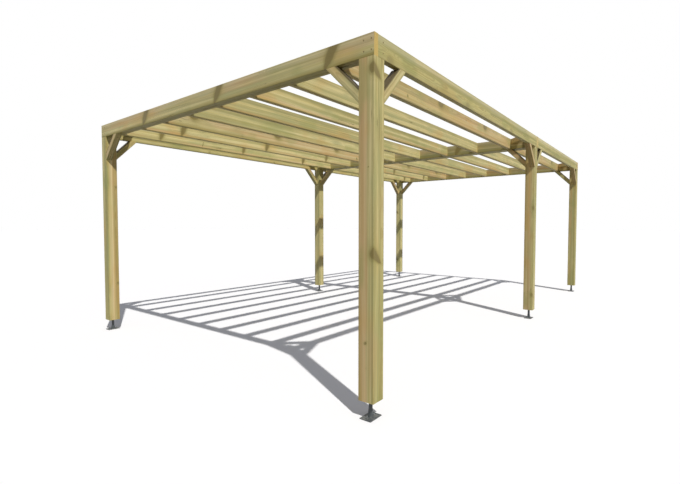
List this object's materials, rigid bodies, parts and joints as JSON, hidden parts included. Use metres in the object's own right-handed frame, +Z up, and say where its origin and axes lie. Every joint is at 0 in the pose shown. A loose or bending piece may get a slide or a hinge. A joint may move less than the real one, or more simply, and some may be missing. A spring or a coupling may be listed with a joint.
{
  "type": "freestanding pergola",
  "caption": "Open freestanding pergola of pressure-treated timber: square posts on steel feet, with braces and doubled cross beams, carry a flat roof of rafters over a long and a short bay.",
  "frame": {"origin": "middle of the part's box, on the ground under the foot plates", "axes": "+X along the long side, towards the shorter bay; +Y from the front side to the back side; +Z up"},
  "size_m": [7.075, 4, 2.5],
  "materials": {
    "post_timber": "planed pressure-treated pine, pale olive and tan, with knots and drying checks",
    "beam_timber": "planed pressure-treated pine, pale olive and tan, with dark knot whorls",
    "rafter_timber": "planed pressure-treated pine, pale olive and tan, with dark knot whorls",
    "brace_timber": "planed pressure-treated pine, cut at 45 degrees",
    "foot_steel": "dark grey powder coat, satin"
  },
  "bodies": {
    "root": {"post_front_left": "post_timber", "post_front_middle": "post_timber", "post_front_right": "post_timber", "post_back_left": "post_timber", "post_back_middle": "post_timber", "post_back_right": "post_timber", "foot_front_left": "foot_steel", "foot_front_middle": "foot_steel", "foot_front_right": "foot_steel", "foot_back_left": "foot_steel", "foot_back_middle": "foot_steel", "foot_back_right": "foot_steel", "beam_front_left": "beam_timber", "beam_front_right": "beam_timber", "beam_back_left": "beam_timber", "beam_back_right": "beam_timber", "cross_left_outer": "beam_timber", "cross_left_inner": "beam_timber", "cross_middle_left_inner": "beam_timber", "cross_middle_left_outer": "beam_timber", "cross_middle_right_outer": "beam_timber", "cross_middle_right_inner": "beam_timber", "cross_right_inner": "beam_timber", "cross_right_outer": "beam_timber", "rafter_left_1": "rafter_timber", "rafter_left_2": "rafter_timber", "rafter_left_3": "rafter_timber", "rafter_left_4": "rafter_timber", "rafter_left_5": "rafter_timber", "rafter_left_6": "rafter_timber", "rafter_left_7": "rafter_timber", "rafter_left_8": "rafter_timber", "rafter_right_1": "rafter_timber", "rafter_right_2": "rafter_timber", "rafter_right_3": "rafter_timber", "rafter_right_4": "rafter_timber", "rafter_right_5": "rafter_timber", "rafter_right_6": "rafter_timber", "rafter_right_7": "rafter_timber", "rafter_right_8": "rafter_timber", "braces_left": "brace_timber", "braces_middle": "brace_timber", "braces_right": "brace_timber", "corner_braces_left": "brace_timber", "corner_braces_right": "brace_timber"}
  },
  "joints": []
}
